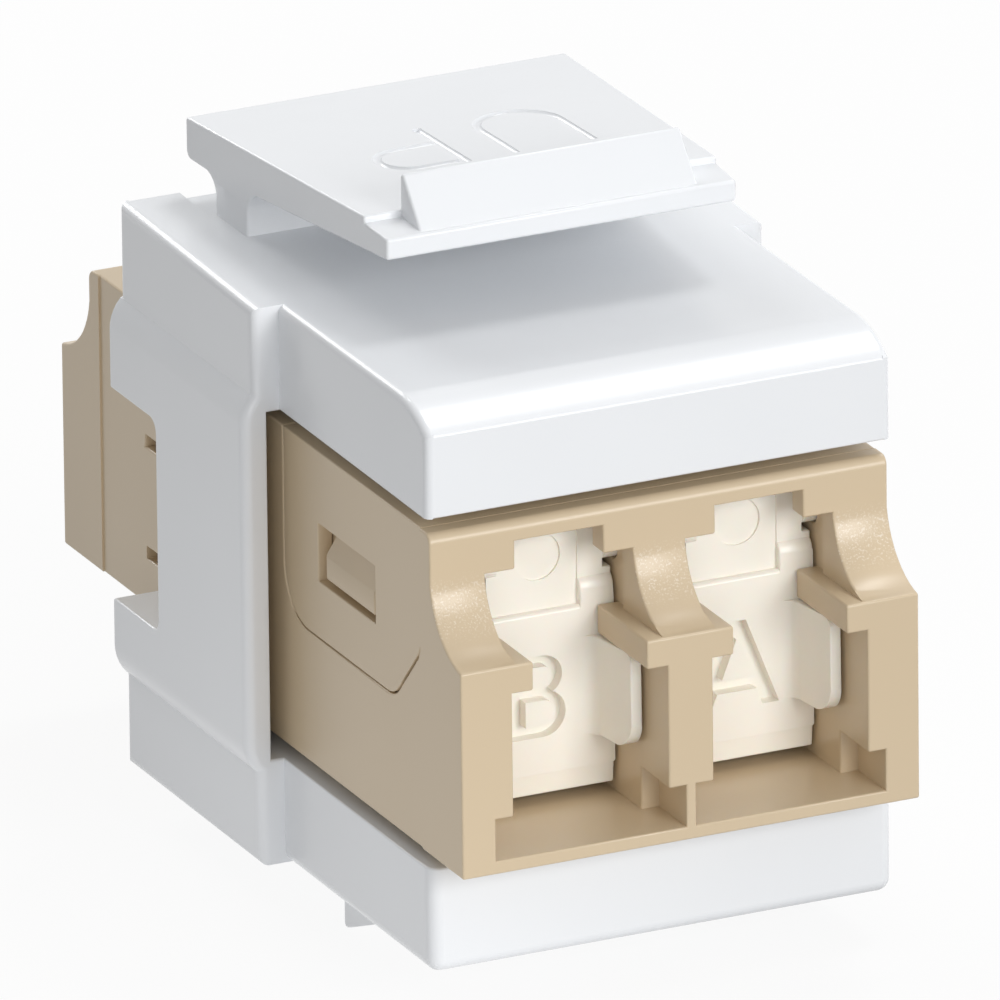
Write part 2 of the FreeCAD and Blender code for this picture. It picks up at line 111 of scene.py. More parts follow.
def noise(tree, coords, scale, detail=3.0, stretch=None):
    if stretch is not None:
        mapping = node_of(tree, "ShaderNodeMapping", Scale=stretch)
        tree.links.new(coords, mapping.inputs["Vector"])
        coords = mapping.outputs["Vector"]
    grain = node_of(tree, "ShaderNodeTexNoise", Scale=scale, Detail=detail)
    tree.links.new(coords, grain.inputs["Vector"])
    return grain.outputs["Fac"]


def ramp(tree, factor, low, high, start=0.3, stop=0.7):
    """Colour that goes from low to high as the factor goes from start to stop."""
    node = tree.nodes.new("ShaderNodeValToRGB")
    node.color_ramp.elements[0].position = start
    node.color_ramp.elements[0].color = (*low, 1)
    node.color_ramp.elements[1].position = stop
    node.color_ramp.elements[1].color = (*high, 1)
    tree.links.new(factor, node.inputs["Fac"])
    return node.outputs["Color"]


def spread(tree, factor, low, high, start=0.3, stop=0.7):
    """Number that goes from low to high as the factor goes from start to stop, easing at both ends."""
    node = node_of(tree, "ShaderNodeMapRange", From_Min=start, From_Max=stop, To_Min=low, To_Max=high)
    node.interpolation_type = "SMOOTHSTEP"
    tree.links.new(factor, node.inputs["Value"])
    return node.outputs["Result"]


def times(tree, first, second):
    node = tree.nodes.new("ShaderNodeMath")
    node.operation = "MULTIPLY"
    tree.links.new(first, node.inputs[0])
    tree.links.new(second, node.inputs[1])
    return node.outputs["Value"]


def distance_from(tree, coords, place):
    node = tree.nodes.new("ShaderNodeVectorMath")
    node.operation = "DISTANCE"
    node.inputs[1].default_value = place
    tree.links.new(coords, node.inputs[0])
    return node.outputs["Value"]


def split(tree, coords):
    node = tree.nodes.new("ShaderNodeSeparateXYZ")
    tree.links.new(coords, node.inputs["Vector"])
    return node.outputs


def bump(tree, shader, height, depth, below=None):
    """Relief of a depth in millimetres on the shader, over the relief below."""
    node = node_of(tree, "ShaderNodeBump", Strength=1.0, Distance=depth * MM)
    tree.links.new(height, node.inputs["Height"])
    if below is not None:
        tree.links.new(below, node.inputs["Normal"])
    tree.links.new(node.outputs["Normal"], shader.inputs["Normal"])
    return node.outputs["Normal"]


PLASTIC_IOR = 1.5

WHITE_LOW = (0.821, 0.838, 0.861)
WHITE_HIGH = (0.835, 0.852, 0.875)
# Where drag lines begin and are full, across the top and in height
DRAG_X = (3.5, 6.5)
DRAG_Z = (16.6, 16.9)
DRAG_STRETCH = (5200, 260, 5200)


def white_gloss():
    material, tree, shader, coords = new_finish("white_gloss_plastic", IOR=PLASTIC_IOR)
    cloud = noise(tree, coords, scale=240, detail=1.0)
    colour = ramp(tree, cloud, WHITE_LOW, WHITE_HIGH, start=0.2, stop=0.8)
    polish = noise(tree, coords, scale=700, detail=2.0)
    painted(tree, shader, colour, spread(tree, polish, low=0.21, high=0.25, start=0.2, stop=0.8))
    skin = bump(tree, shader, noise(tree, coords, scale=1500, detail=1.0), depth=0.0006)

    # Fine drag lines from the mould, along the length, near the right edge of the top
    place = split(tree, coords)
    edge = spread(tree, place["X"], low=0, high=1, start=DRAG_X[0] * MM, stop=DRAG_X[1] * MM)
    top = spread(tree, place["Z"], low=0, high=1, start=DRAG_Z[0] * MM, stop=DRAG_Z[1] * MM)
    lines = noise(tree, coords, scale=1, detail=4.0, stretch=DRAG_STRETCH)
    bump(tree, shader, times(tree, lines, times(tree, edge, top)), depth=0.004, below=skin)
    return material


BEIGE_LOW = (0.623, 0.499, 0.338)
BEIGE_HIGH = (0.644, 0.517, 0.353)
# Painted glint: lighter colour on the grain's peaks in the scoops, standing in for light caught by the
# grain
PAINTED_GLINT = (0.82, 0.74, 0.64, 1)
# The concave scoops over the ports lie on one cylinder along X
SCOOP_Y = -2.285
SCOOP_Z = 12.105
SCOOP_RADIUS = 2.37
SCOOP_BAND = 0.03
SCOOP_FADE = 0.06
# Heights between which the grain and its painted glint come in at the foot of a scoop and go out at its
# head, where the scoop catches the light
SCOOP_FOOT = (10.1, 10.7)
SCOOP_HEAD = (11.3, 12.1)


def scoop_grain_and_glint_place(tree, coords):
    """Factor that is one on the concave scoops where they catch the light, and none elsewhere: it places
    the grain and its painted glint.
    """
    place = split(tree, coords)
    section = tree.nodes.new("ShaderNodeCombineXYZ")
    tree.links.new(place["Y"], section.inputs["Y"])
    tree.links.new(place["Z"], section.inputs["Z"])
    radius = distance_from(tree, section.outputs["Vector"], mm(0, SCOOP_Y, SCOOP_Z))
    inner = spread(tree, radius, low=0, high=1,
                   start=(SCOOP_RADIUS - SCOOP_FADE) * MM, stop=(SCOOP_RADIUS - SCOOP_BAND) * MM)
    outer = spread(tree, radius, low=1, high=0,
                   start=(SCOOP_RADIUS + SCOOP_BAND) * MM, stop=(SCOOP_RADIUS + SCOOP_FADE) * MM)
    foot = spread(tree, place["Z"], low=0, high=1, start=SCOOP_FOOT[0] * MM, stop=SCOOP_FOOT[1] * MM)
    head = spread(tree, place["Z"], low=1, high=0, start=SCOOP_HEAD[0] * MM, stop=SCOOP_HEAD[1] * MM)
    return times(tree, times(tree, inner, outer), times(tree, foot, head))


def beige_satin():
    material, tree, shader, coords = new_finish("beige_satin_plastic", IOR=PLASTIC_IOR)
    cloud = noise(tree, coords, scale=200, detail=0.0)
    plain = ramp(tree, cloud, BEIGE_LOW, BEIGE_HIGH, start=0.1, stop=0.9)

    # Spark-eroded grain in the scoops, with a painted glint: its peaks are lightened where the scoop
    # catches the light
    scoop = scoop_grain_and_glint_place(tree, coords)
    grain = noise(tree, coords, scale=17000, detail=1.0)
    painted_glint = times(tree, spread(tree, grain, low=0, high=0.7, start=0.52, stop=0.74), scoop)
    mix = tree.nodes.new("ShaderNodeMix")
    mix.data_type = "RGBA"
    mix.inputs["B"].default_value = PAINTED_GLINT
    tree.links.new(painted_glint, mix.inputs["Factor"])
    tree.links.new(plain, mix.inputs["A"])
    polish = noise(tree, coords, scale=300, detail=0.0)
    satin = spread(tree, polish, low=0.28, high=0.31, start=0.1, stop=0.9)
    painted(tree, shader, mix.outputs["Result"], satin)
    bump(tree, shader, times(tree, grain, scoop), depth=0.008)
    return material


CREAM_LOW = (0.945, 0.905, 0.825)
CREAM_HIGH = (0.955, 0.915, 0.835)


def cream_plastic():
    material, tree, shader, coords = new_finish("cream_plastic", Subsurface_Weight=0.12,
                                                Subsurface_Scale=0.6 * MM, IOR=PLASTIC_IOR)
    colour = ramp(tree, noise(tree, coords, scale=300, detail=1.0), CREAM_LOW, CREAM_HIGH)
    polish = noise(tree, coords, scale=900, detail=1.0)
    painted(tree, shader, colour, spread(tree, polish, low=0.29, high=0.34))
    bump(tree, shader, noise(tree, coords, scale=2600, detail=1.0), depth=0.0003)
    return material


STEEL_LOW = (0.50, 0.50, 0.51)
STEEL_HIGH = (0.64, 0.64, 0.65)


def spring_wire():
    material, tree, shader, coords = new_finish("drawn_spring_steel", Metallic=1.0)
    colour = ramp(tree, noise(tree, coords, scale=4000), STEEL_LOW, STEEL_HIGH)
    painted(tree, shader, colour, spread(tree, noise(tree, coords, scale=7000), low=0.22, high=0.36))
    return material


CERAMIC_IOR = 2.1
CERAMIC_LOW = (0.84, 0.835, 0.81)
CERAMIC_HIGH = (0.89, 0.885, 0.865)


def ground_ceramic():
    material, tree, shader, coords = new_finish("ground_zirconia", Subsurface_Weight=0.1,
                                                Subsurface_Scale=0.4 * MM, IOR=CERAMIC_IOR)
    colour = ramp(tree, noise(tree, coords, scale=800), CERAMIC_LOW, CERAMIC_HIGH)
    painted(tree, shader, colour, spread(tree, noise(tree, coords, scale=2500), low=0.10, high=0.18))
    return material


white = white_gloss()
beige = beige_satin()
cream = cream_plastic()
steel = spring_wire()
ceramic = ground_ceramic()


# Mouldings

# Points of a solid, and of a new shape, that are closer than this are one
SOLID_WELD = 0.002
SHAPE_WELD = 0.0005
# Faces that turn by less than this are one flat face, and edges that turn by more than this stay crisp
FLAT_ANGLE = 0.5
CRISP_ANGLE = 38
# A round needs this many times its size across the faces beside it
ROOM = 2.2
ROUND_SEGMENTS = 3
FULL_WEIGHT = 100
# Places along an edge at which the width of a face is taken
PROBES = (0.04, 0.27, 0.5, 0.73, 0.96)


def finished(bm, name, material):
    mesh = bpy.data.meshes.new(name)
    bm.to_mesh(mesh)
    bm.free()
    mesh.materials.append(material)
    for side in mesh.polygons:
        side.use_smooth = True
    piece = bpy.data.objects.new(name, mesh)
    bpy.context.scene.collection.objects.link(piece)
    return piece


def width_across(edge, side):
    """Least distance across a face from points along one of its edges."""
    corner = next(c for c in edge.link_loops if c.face is side)
    start = corner.vert.co
    run = corner.link_loop_next.vert.co - start
    along = run.normalized()
    inward = side.normal.cross(along)
    least = 1.0
    for other in side.loops:
        if other.edge is edge:
            continue
        first = other.vert.co - start
        last = other.link_loop_next.vert.co - start
        u0, u1 = first.dot(along), last.dot(along)
        s0, s1 = first.dot(inward), last.dot(inward)
        for share in PROBES:
            u = run.length * share
            if (u0 - u) * (u1 - u) > 0 or abs(u1 - u0) < 1e-9:
                continue
            across = s0 + (s1 - s0) * (u - u0) / (u1 - u0)
            if across > 1e-7:
                least = min(least, across)
    return least


def arc(x, z, radius, start, stop, parts=12):
    """Points on a round stretch of a flat outline, between two angles in degrees."""
    turns = [math.radians(start + (stop - start) * i / parts) for i in range(parts + 1)]
    return [(x + radius * math.cos(t), z + radius * math.sin(t)) for t in turns]


def carved(bm, cutter):
    """Take the shape of one closed mesh out of another."""
    pieces = []
    for name, shape in (("solid", bm), ("cutter", cutter)):
        mesh = bpy.data.meshes.new(name)
        shape.to_mesh(mesh)
        piece = bpy.data.objects.new(name, mesh)
        bpy.context.scene.collection.objects.link(piece)
        pieces.append(piece)
    cutter.free()
    hollow = pieces[0].modifiers.new("hollow", "BOOLEAN")
    hollow.operation = "DIFFERENCE"
    hollow.solver = "EXACT"
    hollow.object = pieces[1]
    bpy.context.view_layer.update()
    bm.clear()
    bm.from_mesh(pieces[0].evaluated_get(bpy.context.evaluated_depsgraph_get()).to_mesh())
    for piece in pieces:
        bpy.data.objects.remove(piece)


def stamp_of(outlines, place, depth):
    """Closed mesh that reaches as far as the depth to both sides of flat outlines, set at a place."""
    curve = bpy.data.curves.new("outlines", "CURVE")
    curve.dimensions = "2D"
    curve.fill_mode = "BOTH"
    curve.extrude = depth * MM
    for outline in outlines:
        line = curve.splines.new("POLY")
        line.use_cyclic_u = True
        line.points.add(len(outline) - 1)
        for point, (x, z) in zip(line.points, outline):
            point.co = (x * MM, z * MM, 0, 1)
    drawn = bpy.data.objects.new("outlines", curve)
    bpy.context.scene.collection.objects.link(drawn)
    bpy.context.view_layer.update()
    stamp = bmesh.new()
    stamp.from_mesh(drawn.evaluated_get(bpy.context.evaluated_depsgraph_get()).to_mesh())
    bpy.data.objects.remove(drawn)
    bmesh.ops.remove_doubles(stamp, verts=stamp.verts, dist=SHAPE_WELD * MM)
    bmesh.ops.transform(stamp, verts=stamp.verts, matrix=place)
    bmesh.ops.recalc_face_normals(stamp, faces=stamp.faces)
    return stamp


def edges_to_round(bm, edge, angle, keep_sharp, needs_room):
    """Convex edges that turn by at least the angle and have to be rounded."""
    found = []
    for e in bm.edges:
        if len(e.link_faces) != 2 or not e.is_convex or e.calc_face_angle(0) < math.radians(angle):
            continue
        middle = (e.verts[0].co + e.verts[1].co) / 2 / MM
        if keep_sharp is not None and keep_sharp(middle):
            continue
        if needs_room and min(width_across(e, side) for side in e.link_faces) < ROOM * edge * MM:
            continue
        found.append(e)
    return found


def moulding(node, name, material, edge, angle=35, cuts=(), keep_sharp=None, needs_room=True,
             carve=None):
    """Copy of a solid with the small rounds that moulded edges have.

    Edges are left as they are where keep_sharp says so, or where they need room and have none.
    carve shapes the copy first, and cuts are heights at which it is divided so that it can bend.
    """
    bm = bmesh.new()
    bm.from_mesh(frame["nodes"][node].data)
    bmesh.ops.remove_doubles(bm, verts=bm.verts, dist=SOLID_WELD * MM)
    if carve is not None:
        carve(bm)
    bmesh.ops.dissolve_limit(bm, angle_limit=math.radians(FLAT_ANGLE), use_dissolve_boundaries=False,
                             verts=bm.verts, edges=bm.edges, delimit={"NORMAL"})
    bm.normal_update()
    bmesh.ops.bevel(bm, geom=edges_to_round(bm, edge, angle, keep_sharp, needs_room), affect="EDGES",
                    offset_type="OFFSET", offset=edge * MM, segments=ROUND_SEGMENTS, profile=0.5,
                    material=-1, clamp_overlap=False, loop_slide=True)
    for z in cuts:
        bmesh.ops.bisect_plane(bm, geom=bm.verts[:] + bm.edges[:] + bm.faces[:], plane_co=mm(0, 0, z),
                               plane_no=(0, 0, 1), dist=SHAPE_WELD * MM)

    # Corners left without a round stay crisp
    bm.normal_update()
    for e in bm.edges:
        if len(e.link_faces) == 2 and e.calc_face_angle(0) > math.radians(CRISP_ANGLE):
            e.smooth = False
    piece = finished(bm, name, material)
    weighted = piece.modifiers.new("even_faces", "WEIGHTED_NORMAL")
    weighted.weight = FULL_WEIGHT
    weighted.keep_sharp = True
    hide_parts(node)
    return piece


def round_rod(radius, start, heading, steps, sides=12):
    """Closed mesh of a round rod, drawn from a ring through straight runs and turns.

    A step is a run vector, or (centre, axis, angle, parts, shift per part) for a turn.
    """
    bm = bmesh.new()
    facing = Vector(heading).to_track_quat("Z", "Y").to_matrix().to_4x4()
    bmesh.ops.create_circle(bm, cap_ends=False, segments=sides, radius=radius * MM,
                            matrix=Matrix.Translation(mm(*start)) @ facing)
    ring = bm.edges[:]
    for step in steps:
        if len(step) == 3:
            made = bmesh.ops.extrude_edge_only(bm, edges=ring)["geom"]
            ends = {g for g in made if isinstance(g, bmesh.types.BMVert)}
            bmesh.ops.translate(bm, verts=list(ends), vec=mm(*step))
        else:
            centre, axis, angle, parts, shift = step
            corners = list(dict.fromkeys(v for e in ring for v in e.verts))
            made = bmesh.ops.spin(bm, geom=corners + ring, cent=mm(*centre), axis=axis, dvec=mm(*shift),
                                  angle=angle, steps=parts, use_duplicate=False)["geom_last"]
            ends = {g for g in made if isinstance(g, bmesh.types.BMVert)}
        ring = [e for e in bm.edges if e.verts[0] in ends and e.verts[1] in ends]
    bmesh.ops.remove_doubles(bm, verts=bm.verts, dist=SHAPE_WELD * MM)
    bmesh.ops.holes_fill(bm, edges=[e for e in bm.edges if e.is_boundary], sides=0)
    bmesh.ops.recalc_face_normals(bm, faces=bm.faces)
    return bm


# Housing and adapter halves

# Size of the rounds on their edges, and the least turn of a housing edge that gets one
HOUSING_EDGE = 0.08
HOUSING_EDGE_ANGLE = 50
ADAPTER_EDGE = 0.07
COVER_EDGE = 0.04
# Face inside the housing that the rear half's flange stops against
STOP_Y = 13.95
# The cover lies flush on the front half: their seam is crisp and shows little
SEAM_Y = 0.74
SEAM_LOW = 12
SEAM_WIDTH = 0.1
# Bosses that hold the alignment sleeves
SLEEVE_Z = 6.425
BOSS_HALF = 1.4
BOSS_SIDE = 5
FRONT_BOSS_Y = 8
REAR_BOSS_Y = 17.5


def crisp_on_housing(p):
    """Whether a point lies on the stop face."""
    return abs(p.y - STOP_Y) < NEAR


def crisp_on_front(p):
    """Whether a point lies on the sleeve bosses of the front half, or on the seam at the cover."""
    boss = p.y > FRONT_BOSS_Y and abs(p.z - SLEEVE_Z) < BOSS_HALF
    seam = abs(p.y - SEAM_Y) < NEAR and p.z > SEAM_LOW
    return boss or seam


def crisp_on_rear(p):
    """Whether a point lies on the sleeve bosses of the rear half."""
    return p.y < REAR_BOSS_Y and abs(p.z - SLEEVE_Z) < BOSS_HALF and abs(p.x) < BOSS_SIDE


def crisp_on_cover(p):
    """Whether a point lies on the seam at the front half."""
    return p.y < SEAM_Y + SEAM_WIDTH


housing = moulding("keystone_housing", "housing_shell", white, HOUSING_EDGE,
                   HOUSING_EDGE_ANGLE, keep_sharp=crisp_on_housing)
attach(housing, "housing")
front = moulding("front_body", "adapter_front", beige, ADAPTER_EDGE,
                 keep_sharp=crisp_on_front)
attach(front, "housing")
rear = moulding("rear_body", "adapter_rear", beige, ADAPTER_EDGE,
                keep_sharp=crisp_on_rear)
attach(rear, "housing")
lid = moulding("shutter_cover", "adapter_cover", beige, COVER_EDGE,
               keep_sharp=crisp_on_cover)
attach(lid, "housing")


# Latch lever

LEVER_EDGE = 0.09
# Its top rises from the rear edge towards the nose
LEVER_REAR_Y = 18.78
LEVER_REAR_Z = 19.55
LEVER_RISE = 0.52
LEVER_RUN = 11.08
LEVER_SLOPE = math.atan2(LEVER_RISE, LEVER_RUN)

# It bends in its stem
STEM_FOOT = 17.14
STEM_HEAD = 18.28
STEM_PARTS = 8
stem_cuts = [STEM_FOOT + (STEM_HEAD - STEM_FOOT) * i / STEM_PARTS for i in range(1, STEM_PARTS)]

# Marks sunk into the top, read from behind: radius of the stroke, and how far its axis lies above the top
STROKE = 0.16
STROKE_LIFT = 0.04
STROKE_SIDES = 16
U_HALF = 1.22
U_TALL = 3.6
U_PARTS = 24
U_PLACE = (1.96, 12.72)
P_BOWL = 0.92
P_TALL = 3.5
P_RUN = 1.27
P_STEM_X = -1.0
P_BOWL_START = 0.4 * STROKE
P_BOWL_DROP = 1.1 * STROKE
P_PARTS = 20
P_PLACE = (-1.80, 12.61)
NO_SHIFT = (0, 0, 0)

# Field of the top that holds the marks
MARKS_SIDE = 3.6
MARKS_FRONT = 10.4
MARKS_BACK = 15.0
MARKS_LOW = 19.2


def groove(bm, place, *rod):
    """Sink a rod drawn flat at the origin into the lever's top."""
    x, y = place
    z = LEVER_REAR_Z + STROKE_LIFT + (LEVER_REAR_Y - y) * math.tan(LEVER_SLOPE)
    cutter = round_rod(STROKE, *rod, sides=STROKE_SIDES)
    bmesh.ops.transform(cutter, verts=cutter.verts,
                        matrix=Matrix.Translation(mm(x, y, z)) @ Matrix.Rotation(-LEVER_SLOPE, 4, "X")
                        @ Matrix.Rotation(math.pi, 4, "Z"))
    carved(bm, cutter)


def up_marks(bm):
    """Sink the letters U and P."""
    u_foot = U_HALF - U_TALL / 2
    u_leg = U_TALL - U_HALF
    u_turn = ((0, u_foot, 0), (0, 0, 1), math.pi, U_PARTS, NO_SHIFT)
    groove(bm, U_PLACE, (-U_HALF, U_TALL / 2, 0), (0, -1, 0), [(0, -u_leg, 0), u_turn, (0, u_leg, 0)])
    p_top = P_TALL / 2
    bowl_x = P_STEM_X + P_BOWL_START
    bowl_top = p_top - P_BOWL_DROP
    p_turn = ((bowl_x + P_RUN, bowl_top - P_BOWL, 0), (0, 0, -1), math.pi, P_PARTS, NO_SHIFT)
    groove(bm, P_PLACE, (P_STEM_X, -p_top, 0), (0, 1, 0), [(0, P_TALL, 0)])
    groove(bm, P_PLACE, (bowl_x, bowl_top, 0), (1, 0, 0), [(P_RUN, 0, 0), p_turn, (-P_RUN, 0, 0)])


def crisp_on_lever(p):
    """Whether a point lies at the foot of the stem, or on the marks in the top."""
    marks = abs(p.x) < MARKS_SIDE and MARKS_FRONT < p.y < MARKS_BACK and p.z > MARKS_LOW
    return marks or p.z < STEM_FOOT + NEAR


lever = moulding("latch_lever", "latch_arm", white, LEVER_EDGE, cuts=stem_cuts,
                 keep_sharp=crisp_on_lever, needs_room=False, carve=up_marks)
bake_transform(lever)


# Doors

DOOR_EDGE = 0.06
DOOR_FRONT = 1.42
DOOR_HALF = 2.33

# Port letters, sunk into the doors: shares are of the stroke, places are in X and Z
LETTER_STROKE = 0.48
LETTER_DEPTH = 0.38
A_PLACE = (3.03, 5.84)
A_TALL = 2.64
A_HALF = 1.33
A_TIP = 0.30
A_BAR = 0.50
A_BAR_SHARE = 0.85
A_LEG_SHARE = 1.08
B_PLACE = (-4.16, 6.02)
B_BOWLS = (0.71, 0.61)
B_MEET_ANGLE = 60
B_ROUND_X = 1.12
B_STEM = 0.58
B_RIM = 0.32
B_FOOT = 0.34
B_WAIST = 0.44

# Field of a door's front that holds the letter
LETTER_LOW = 5.7
LETTER_HIGH = 8.7
LETTER_INNER = 0.6
LETTER_OUTER = 4.5
LETTER_REACH = 0.3

# Round dish that the ejector pin leaves in a door's pocket
PIN_DEPTH = 0.14
PIN_FACE = DOOR_FRONT + PIN_DEPTH
PIN_X = 0.05
PIN_Z = 11.4
PIN_RADIUS = 0.72
PIN_MARGIN = 0.01
PIN_FLAT = 0.005
DISH_SHIFT = 0.16

# Rounds of a door's front: the ledge under the pocket, and the strip beside it that falls back to the hub
POCKET_SIDE = 1.27
HUB_SIDE = 2.05
HUB_LOW = 10.77
HUB_EDGE_LOW = 11
LEDGE_Z = 9.80
LEDGE_ROUND = 0.15
STRIP_Z = 10.20
STRIP_ROUND = 0.50
STRIP_BACK = 0.17
# The cuts graze the front, start ahead of it and run past what they cut
SKIM = 0.004
CUT_AHEAD = 0.3
CUT_ABOVE = 0.1
CUT_TOP = 12.6
CUT_INTO_POCKET = 0.3
PAST_DOOR = 0.2
PAST_SIDE = 0.02
STRIP_PAST_HUB = 0.03
HUB_CUT_BELOW = 0.05


def letter_a():
    """Outline of the letter A, and of its hole."""
    lean = (A_HALF - A_TIP) / A_TALL
    inner_foot = A_HALF - LETTER_STROKE * A_LEG_SHARE
    bar_top = A_BAR + A_BAR_SHARE * LETTER_STROKE
    bar_low = inner_foot - lean * A_BAR
    bar_high = bar_low - lean * A_BAR_SHARE * LETTER_STROKE
    outside = [(-A_HALF, 0), (-inner_foot, 0), (-bar_low, A_BAR), (bar_low, A_BAR), (inner_foot, 0),
               (A_HALF, 0), (A_TIP, A_TALL), (-A_TIP, A_TALL)]
    hole = [(-bar_high, bar_top), (bar_high, bar_top), (0, inner_foot / lean)]
    return [outside, hole]


def bowl_hole(low, high, reach):
    """Hole in a bowl of the letter B: flat at its left, round at its right."""
    half = (high - low) / 2
    return [(B_STEM, low)] + arc(reach - half, low + half, half, -90, 90) + [(B_STEM, high)]


def letter_b():
    """Outline of the letter B, and of its two holes."""
    low_bowl, high_bowl = B_BOWLS
    meet = 1 + math.sin(math.radians(B_MEET_ANGLE))
    waist = low_bowl * meet
    tall = waist + high_bowl * meet
    outside = [(0, 0)]
    outside += arc(B_ROUND_X, low_bowl, low_bowl, -90, B_MEET_ANGLE)
    outside += arc(B_ROUND_X, tall - high_bowl, high_bowl, -B_MEET_ANGLE, 90)
    outside += [(0, tall)]
    low_hole = bowl_hole(B_FOOT, waist - B_WAIST / 2, B_ROUND_X + low_bowl - B_RIM)
    high_hole = bowl_hole(waist + B_WAIST / 2, tall - B_FOOT, B_ROUND_X + high_bowl - B_RIM)
    return [outside, low_hole, high_hole]


def dished(bm, pin_x):
    """Set the pin's round face back behind the floor of the pocket."""
    middle = mm(pin_x, PIN_FACE, PIN_Z)
    rim = [v for v in bm.verts if abs(v.co.y - middle.y) < PIN_FLAT * MM
           and (v.co - middle).length < (PIN_RADIUS + PIN_MARGIN) * MM]
    bmesh.ops.translate(bm, verts=rim, vec=mm(0, DISH_SHIFT, 0))


def cut_across(bm, outline, left, right):
    """Cut a solid along X with an outline in Y and Z."""
    across = Matrix(((0, 0, 1), (1, 0, 0), (0, 1, 0))).to_4x4()
    place = Matrix.Translation(mm((left + right) / 2, 0, 0)) @ across
    carved(bm, stamp_of([outline], place, (right - left) / 2))


def rounded_front(bm, port):
    """Round the ledge and set the upper strip back."""
    ahead = DOOR_FRONT - CUT_AHEAD
    skin = DOOR_FRONT - SKIM
    ledge = arc(skin + LEDGE_ROUND, LEDGE_Z - LEDGE_ROUND + SKIM, LEDGE_ROUND, 180, 90)
    over_ledge = LEDGE_Z + CUT_ABOVE
    cut_across(bm, [(ahead, ledge[0][1])] + ledge + [(ledge[-1][0], over_ledge), (ahead, over_ledge)],
               port - DOOR_HALF - PAST_DOOR, port + POCKET_SIDE + PAST_SIDE)
    fall = math.degrees(math.acos(1 - STRIP_BACK / STRIP_ROUND))
    strip = arc(skin + STRIP_ROUND, STRIP_Z, STRIP_ROUND, 180, 180 - fall)
    set_back = strip[-1][0]
    strip_left = port + POCKET_SIDE - CUT_INTO_POCKET
    strip_top = HUB_LOW + STRIP_PAST_HUB
    cut_across(bm, [(ahead, STRIP_Z)] + strip + [(set_back, strip_top), (ahead, strip_top)],
               strip_left, port + DOOR_HALF + PAST_DOOR)
    hub_low = HUB_LOW - HUB_CUT_BELOW
    cut_across(bm, [(ahead, hub_low), (set_back, hub_low), (set_back, CUT_TOP), (ahead, CUT_TOP)],
               strip_left, port + HUB_SIDE + PAST_SIDE)


def door_front(bm, port, letter, place):
    """Give a door its dish, its rounds and its letter."""
    dished(bm, port + PIN_X)
    rounded_front(bm, port)
    left, low = place
    upright = Matrix.Translation(mm(left, DOOR_FRONT, low)) @ Matrix.Rotation(math.pi / 2, 4, "X")
    carved(bm, stamp_of(letter, upright, LETTER_DEPTH))


def crisp_on_door(p):
    """Whether a point lies on the letter in a door's front, or on the side of its hub."""
    on_front = abs(p.y - DOOR_FRONT) < LETTER_REACH
    letter = on_front and LETTER_LOW < p.z < LETTER_HIGH and LETTER_INNER < abs(p.x) < LETTER_OUTER
    beside_hub = min(abs(p.x - port - HUB_SIDE) for port in (PORT_A, PORT_B)) < NEAR
    return letter or (beside_hub and p.z > HUB_EDGE_LOW)


door_a = moulding("shutter_door_a", "door_a_plate", cream, DOOR_EDGE,
                  keep_sharp=crisp_on_door, carve=lambda bm: door_front(bm, PORT_A, letter_a(), A_PLACE))
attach(door_a, "door_a")
door_b = moulding("shutter_door_b", "door_b_plate", cream, DOOR_EDGE,
                  keep_sharp=crisp_on_door, carve=lambda bm: door_front(bm, PORT_B, letter_b(), B_PLACE))
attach(door_b, "door_b")


# Return springs and alignment sleeves

WIRE_RADIUS = 0.10
COIL_RADIUS = 0.59
COIL_TURNS = 2
COIL_PARTS = 64
COIL_LENGTH = 0.44
# Left wall of a port from its middle, and the first turn from that wall
PORT_HALF = 2.42
COIL_INSET = 0.14
LEG_LENGTH = 2.6
FOOT_Z = 12.58
FOOT_LENGTH = 1.0
FOOT_BEND = 0.35
FOOT_BEND_PARTS = 8


def return_spring(side, port):
    """Coil on the hinge that winds up between its fixed foot and the leg on the door."""
    first_x = port - PORT_HALF + COIL_INSET
    last_x = first_x + COIL_LENGTH
    leg_y = HINGE_Y + COIL_RADIUS
    rise = FOOT_Z - FOOT_BEND - HINGE_Z
    turns = ((first_x, HINGE_Y, HINGE_Z), (1, 0, 0), COIL_TURNS * 2 * math.pi, COIL_PARTS,
             (COIL_LENGTH / COIL_PARTS, 0, 0))
    foot_turn = ((last_x, leg_y + FOOT_BEND, HINGE_Z + rise), (-1, 0, 0), math.pi / 2, FOOT_BEND_PARTS,
                 NO_SHIFT)
    coil = round_rod(WIRE_RADIUS, (first_x, leg_y, HINGE_Z - LEG_LENGTH), (0, 0, 1),
                     [(0, 0, LEG_LENGTH), turns, (0, 0, rise), foot_turn, (0, FOOT_LENGTH, 0)])
    spring = finished(coil, "return_spring_" + side, steel)
    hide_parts("shutter_spring_" + side)
    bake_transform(spring)


for side, port in (("a", PORT_A), ("b", PORT_B)):
    return_spring(side, port)
    sleeve = frame["nodes"]["alignment_sleeve_" + side]
    sleeve.data.materials.clear()
    sleeve.data.materials.append(ceramic)


# Stage, light and camera

# Middle of the object, and the floor just under it
MIDDLE = mm(0, 8, 9)
FLOOR_GAP = 0.02
FLOOR_Z = cad_box[0][2] - FLOOR_GAP * MM
FLOOR_HALF = 2.0
PAPER = (0.86, 0.86, 0.86, 1)
PURE_WHITE = (1, 1, 1, 1)
# The paper glows brightest at the left, close to the object: a painted pool of light that stands in for
# its bounce
POOL_PLACE = (*mm(-26, 1, 0).xy, FLOOR_Z)
POOL_INNER = 12
POOL_OUTER = 32
POOL_BRIGHT = 0.9
POOL_DIM = 0.3
# Share of the floor's white that does not take the object's shadow
SHADOWLESS = 0.9
# More light comes from the right and from above
SKY_HEADING = (0.78, 0.28, 0.56)
SKY_LIGHT = 0.75


